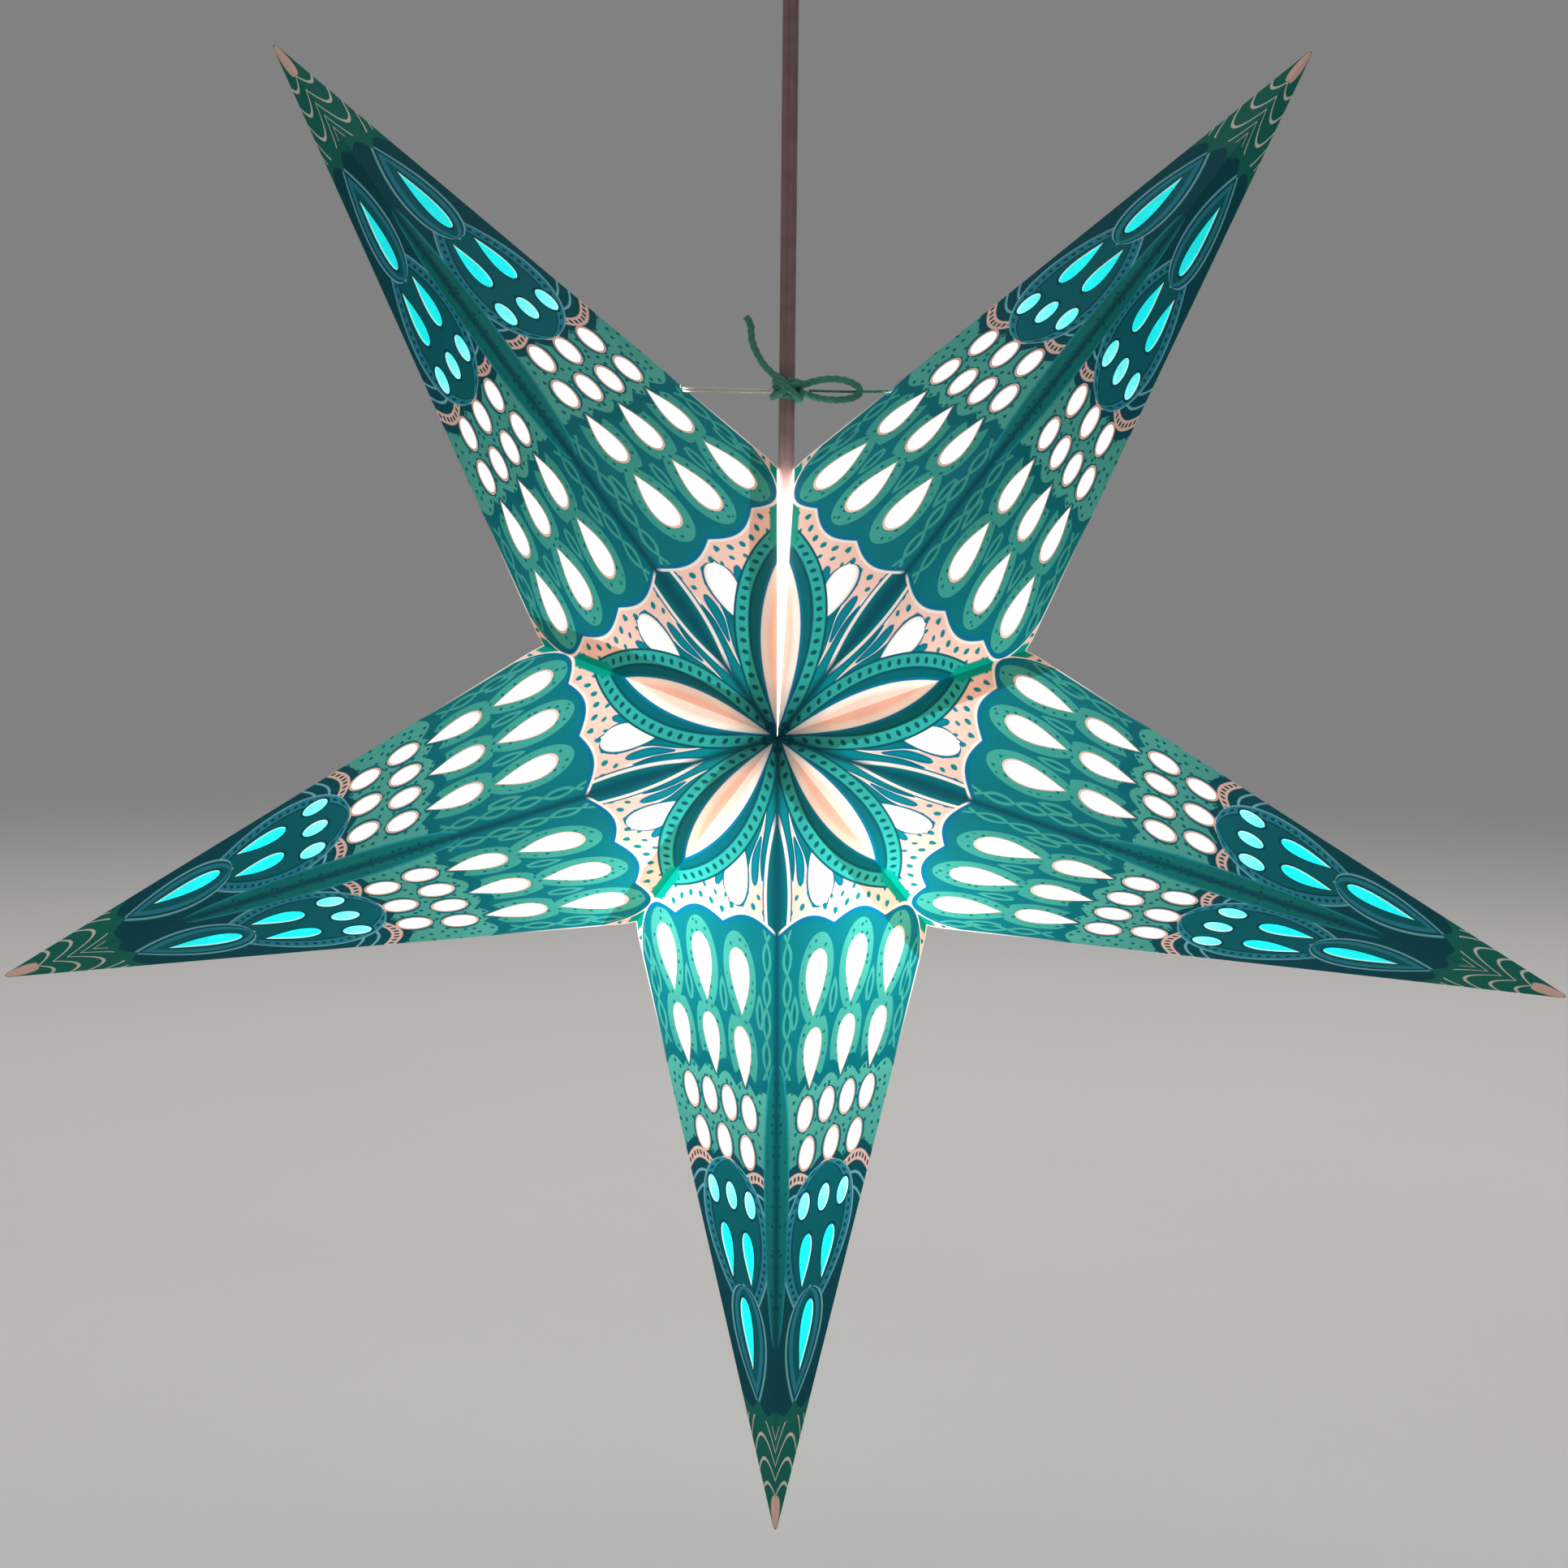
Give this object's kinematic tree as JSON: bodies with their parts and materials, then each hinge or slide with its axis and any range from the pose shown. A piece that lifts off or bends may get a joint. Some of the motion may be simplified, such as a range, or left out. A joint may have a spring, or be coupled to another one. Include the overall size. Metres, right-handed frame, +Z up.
{
  "type": "folding paper star lantern",
  "caption": "Five-pointed folding paper star lantern with die-cut printed arms and tissue liners, hung on a flat flex with a lamp inside, tied shut at its top seam.",
  "frame": {"origin": "middle of the rose bracket's top face, where it meets the ceiling", "axes": "+Z up along the cord, +X to the right seen from the front, -Y towards the front of the star"},
  "size_m": [0.595, 0.2092, 0.6541],
  "materials": {
    "printed_card": "printed matte card",
    "tissue_paper": "translucent tissue",
    "white_plastic": "moulded satin",
    "cord_sheath": "smooth flexible PVC",
    "zinc_steel": "zinc plated",
    "brass": "satin",
    "opal_bulb": "opal",
    "white_string": "twisted",
    "teal_twine": "twisted"
  },
  "bodies": {
    "rose": {"rose_bracket": "zinc_steel", "rose_cup": "white_plastic", "cup_screw_left": "zinc_steel", "cup_screw_right": "zinc_steel", "terminal_block": "white_plastic", "cord_grip": "white_plastic", "grip_nut": "zinc_steel", "cord_tail": "cord_sheath"},
    "cord": {"pendant_cord": "cord_sheath"},
    "lamp": {"holder_cap": "white_plastic", "holder_barrel": "white_plastic", "screw_shell": "brass", "centre_contact": "brass", "bulb_cap": "zinc_steel", "bulb_globe": "opal_bulb", "tie_knot": "teal_twine", "tie_loop": "teal_twine", "tie_tail": "teal_twine"},
    "bottom_front_left": {"card_bottom_front_left": "printed_card", "liner_bottom_front_left": "tissue_paper"},
    "bottom_front_right": {"card_bottom_front_right": "printed_card", "liner_bottom_front_right": "tissue_paper"},
    "bottom_back_left": {"card_bottom_back_left": "printed_card", "liner_bottom_back_left": "tissue_paper"},
    "bottom_back_right": {"card_bottom_back_right": "printed_card", "liner_bottom_back_right": "tissue_paper"},
    "right_front_left": {"card_right_front_left": "printed_card", "liner_right_front_left": "tissue_paper"},
    "right_front_right": {"card_right_front_right": "printed_card", "liner_right_front_right": "tissue_paper"},
    "right_back_left": {"card_right_back_left": "printed_card", "liner_right_back_left": "tissue_paper"},
    "right_back_right": {"card_right_back_right": "printed_card", "liner_right_back_right": "tissue_paper"},
    "upper_right_front_left": {"card_upper_right_front_left": "printed_card", "liner_upper_right_front_left": "tissue_paper"},
    "upper_right_front_right": {"card_upper_right_front_right": "printed_card", "liner_upper_right_front_right": "tissue_paper", "tie_string_right": "teal_twine"},
    "upper_right_back_left": {"card_upper_right_back_left": "printed_card", "liner_upper_right_back_left": "tissue_paper"},
    "upper_right_back_right": {"card_upper_right_back_right": "printed_card", "liner_upper_right_back_right": "tissue_paper"},
    "upper_left_front_left": {"card_upper_left_front_left": "printed_card", "liner_upper_left_front_left": "tissue_paper", "tie_string_left": "white_string"},
    "upper_left_front_right": {"card_upper_left_front_right": "printed_card", "liner_upper_left_front_right": "tissue_paper"},
    "upper_left_back_left": {"card_upper_left_back_left": "printed_card", "liner_upper_left_back_left": "tissue_paper"},
    "upper_left_back_right": {"card_upper_left_back_right": "printed_card", "liner_upper_left_back_right": "tissue_paper"},
    "left_front_left": {"card_left_front_left": "printed_card", "liner_left_front_left": "tissue_paper"},
    "left_front_right": {"card_left_front_right": "printed_card", "liner_left_front_right": "tissue_paper"},
    "left_back_left": {"card_left_back_left": "printed_card", "liner_left_back_left": "tissue_paper"},
    "left_back_right": {"card_left_back_right": "printed_card", "liner_left_back_right": "tissue_paper"}
  },
  "joints": [
    {"name": "cord_sway", "type": "hinge", "parent": "rose", "child": "cord", "pos_m": [0, 0, -0.0408], "axis": [1, 0, 0], "range_deg": [-15, 15]},
    {"name": "star_turn", "type": "hinge", "parent": "cord", "child": "lamp", "pos_m": [0, 0, -0.0408], "axis": [0, 0, 1], "range_deg": [-90, 90]},
    {"name": "star_fold", "type": "hinge", "parent": "lamp", "child": "bottom_front_right", "pos_m": [0, 0, -0.6555], "axis": [0.1177, -0.3465, 0.9306], "range_deg": [0, 33.28], "deforming": ["card_bottom_front_left", "liner_bottom_front_left", "card_bottom_front_right", "liner_bottom_front_right", "card_bottom_back_left", "liner_bottom_back_left", "card_bottom_back_right", "liner_bottom_back_right", "card_right_front_left", "liner_right_front_left", "card_right_front_right", "liner_right_front_right", "card_right_back_left", "liner_right_back_left", "card_right_back_right", "liner_right_back_right", "card_upper_right_front_left", "liner_upper_right_front_left", "card_upper_right_front_right", "liner_upper_right_front_right", "tie_string_right", "card_upper_right_back_left", "liner_upper_right_back_left", "card_upper_right_back_right", "liner_upper_right_back_right", "card_upper_left_front_left", "liner_upper_left_front_left", "tie_string_left", "card_upper_left_front_right", "liner_upper_left_front_right", "card_upper_left_back_left", "liner_upper_left_back_left", "card_upper_left_back_right", "liner_upper_left_back_right", "card_left_front_left", "liner_left_front_left", "card_left_front_right", "liner_left_front_right", "card_left_back_left", "liner_left_back_left", "card_left_back_right", "liner_left_back_right"]},
    {"name": "valley_right_front_left", "type": "hinge", "parent": "bottom_front_right", "child": "right_front_left", "pos_m": [0.05546, 0, -0.4175], "axis": [0.3911, 0.7405, -0.5465], "range_deg": [0, 99.9]},
    {"name": "ridge_right_front_right", "type": "hinge", "parent": "right_front_left", "child": "right_front_right", "pos_m": [0.29864, 0, -0.44177], "axis": [-0.8981, -0.3158, 0.3061], "range_deg": [0, 66.11]},
    {"name": "valley_upper_right_front_left", "type": "hinge", "parent": "right_front_right", "child": "upper_right_front_left", "pos_m": [0.09125, 0, -0.3125], "axis": [0.6435, 0.7405, 0.194], "range_deg": [0, 99.9]},
    {"name": "ridge_upper_right_front_right", "type": "hinge", "parent": "upper_right_front_left", "child": "upper_right_front_right", "pos_m": [0.19266, 0, -0.09015], "axis": [-0.5794, -0.3158, -0.7514], "range_deg": [0, 66.11]},
    {"name": "ridge_bottom_front_left", "type": "hinge", "parent": "lamp", "child": "bottom_front_left", "pos_m": [0, 0, -0.6555], "axis": [0.1177, 0.3465, -0.9306], "range_deg": [0, 33.3]},
    {"name": "valley_left_front_right", "type": "hinge", "parent": "bottom_front_left", "child": "left_front_right", "pos_m": [-0.05546, 0, -0.4175], "axis": [0.3911, -0.7405, 0.5465], "range_deg": [0, 99.9]},
    {"name": "ridge_left_front_left", "type": "hinge", "parent": "left_front_right", "child": "left_front_left", "pos_m": [-0.29864, 0, -0.44177], "axis": [-0.8981, 0.3158, -0.3061], "range_deg": [0, 66.11]},
    {"name": "valley_upper_left_front_right", "type": "hinge", "parent": "left_front_left", "child": "upper_left_front_right", "pos_m": [-0.09125, 0, -0.3125], "axis": [0.6435, -0.7405, -0.194], "range_deg": [0, 99.9]},
    {"name": "ridge_upper_left_front_left", "type": "hinge", "parent": "upper_left_front_right", "child": "upper_left_front_left", "pos_m": [-0.19266, 0, -0.09015], "axis": [-0.5794, 0.3158, 0.7514], "range_deg": [0, 66.11]},
    {"name": "edge_bottom_back_right", "type": "hinge", "parent": "bottom_front_right", "child": "bottom_back_right", "pos_m": [0.05546, 0, -0.4175], "axis": [-0.227, 0, -0.9739], "range_deg": [0, 62.35]},
    {"name": "edge_right_back_left", "type": "hinge", "parent": "right_front_left", "child": "right_back_left", "pos_m": [0.05546, 0, -0.4175], "axis": [-0.9951, 0, 0.0993], "range_deg": [0, 62.35]},
    {"name": "edge_right_back_right", "type": "hinge", "parent": "right_front_right", "child": "right_back_right", "pos_m": [0.09125, 0, -0.3125], "axis": [0.8486, 0, -0.529], "range_deg": [0, 62.35]},
    {"name": "edge_upper_right_back_left", "type": "hinge", "parent": "upper_right_front_left", "child": "upper_right_back_left", "pos_m": [0.09125, 0, -0.3125], "axis": [-0.415, 0, -0.9098], "range_deg": [0, 62.35]},
    {"name": "edge_upper_right_back_right", "type": "hinge", "parent": "upper_right_front_right", "child": "upper_right_back_right", "pos_m": [0.0034, 0, -0.24476], "axis": [0.7744, 0, 0.6327], "range_deg": [0, 62.35]},
    {"name": "edge_bottom_back_left", "type": "hinge", "parent": "bottom_front_left", "child": "bottom_back_left", "pos_m": [-0.05546, 0, -0.4175], "axis": [-0.227, 0, 0.9739], "range_deg": [0, 62.35]},
    {"name": "edge_left_back_right", "type": "hinge", "parent": "left_front_right", "child": "left_back_right", "pos_m": [-0.05546, 0, -0.4175], "axis": [-0.9951, 0, -0.0993], "range_deg": [0, 62.35]},
    {"name": "edge_left_back_left", "type": "hinge", "parent": "left_front_left", "child": "left_back_left", "pos_m": [-0.09125, 0, -0.3125], "axis": [0.8486, 0, 0.529], "range_deg": [0, 62.35]},
    {"name": "edge_upper_left_back_right", "type": "hinge", "parent": "upper_left_front_right", "child": "upper_left_back_right", "pos_m": [-0.09125, 0, -0.3125], "axis": [-0.415, 0, 0.9098], "range_deg": [0, 62.35]},
    {"name": "edge_upper_left_back_left", "type": "hinge", "parent": "upper_left_front_left", "child": "upper_left_back_left", "pos_m": [-0.0034, 0, -0.24476], "axis": [0.7744, 0, -0.6327], "range_deg": [0, 62.35]}
  ],
  "couplings": [
    {"joint": "valley_right_front_left", "follows": "star_fold", "ratio": 3.0011},
    {"joint": "ridge_right_front_right", "follows": "star_fold", "ratio": 1.9857},
    {"joint": "valley_upper_right_front_left", "follows": "star_fold", "ratio": 3.0011},
    {"joint": "ridge_upper_right_front_right", "follows": "star_fold", "ratio": 1.9857},
    {"joint": "ridge_bottom_front_left", "follows": "star_fold", "ratio": 1},
    {"joint": "valley_left_front_right", "follows": "star_fold", "ratio": 3.0011},
    {"joint": "ridge_left_front_left", "follows": "star_fold", "ratio": 1.9857},
    {"joint": "valley_upper_left_front_right", "follows": "star_fold", "ratio": 3.0011},
    {"joint": "ridge_upper_left_front_left", "follows": "star_fold", "ratio": 1.9857},
    {"joint": "edge_bottom_back_right", "follows": "star_fold", "ratio": 1.8728},
    {"joint": "edge_right_back_left", "follows": "star_fold", "ratio": 1.8728},
    {"joint": "edge_right_back_right", "follows": "star_fold", "ratio": 1.8728},
    {"joint": "edge_upper_right_back_left", "follows": "star_fold", "ratio": 1.8728},
    {"joint": "edge_upper_right_back_right", "follows": "star_fold", "ratio": 1.8728},
    {"joint": "edge_bottom_back_left", "follows": "star_fold", "ratio": 1.8728},
    {"joint": "edge_left_back_right", "follows": "star_fold", "ratio": 1.8728},
    {"joint": "edge_left_back_left", "follows": "star_fold", "ratio": 1.8728},
    {"joint": "edge_upper_left_back_right", "follows": "star_fold", "ratio": 1.8728},
    {"joint": "edge_upper_left_back_left", "follows": "star_fold", "ratio": 1.8728}
  ]
}
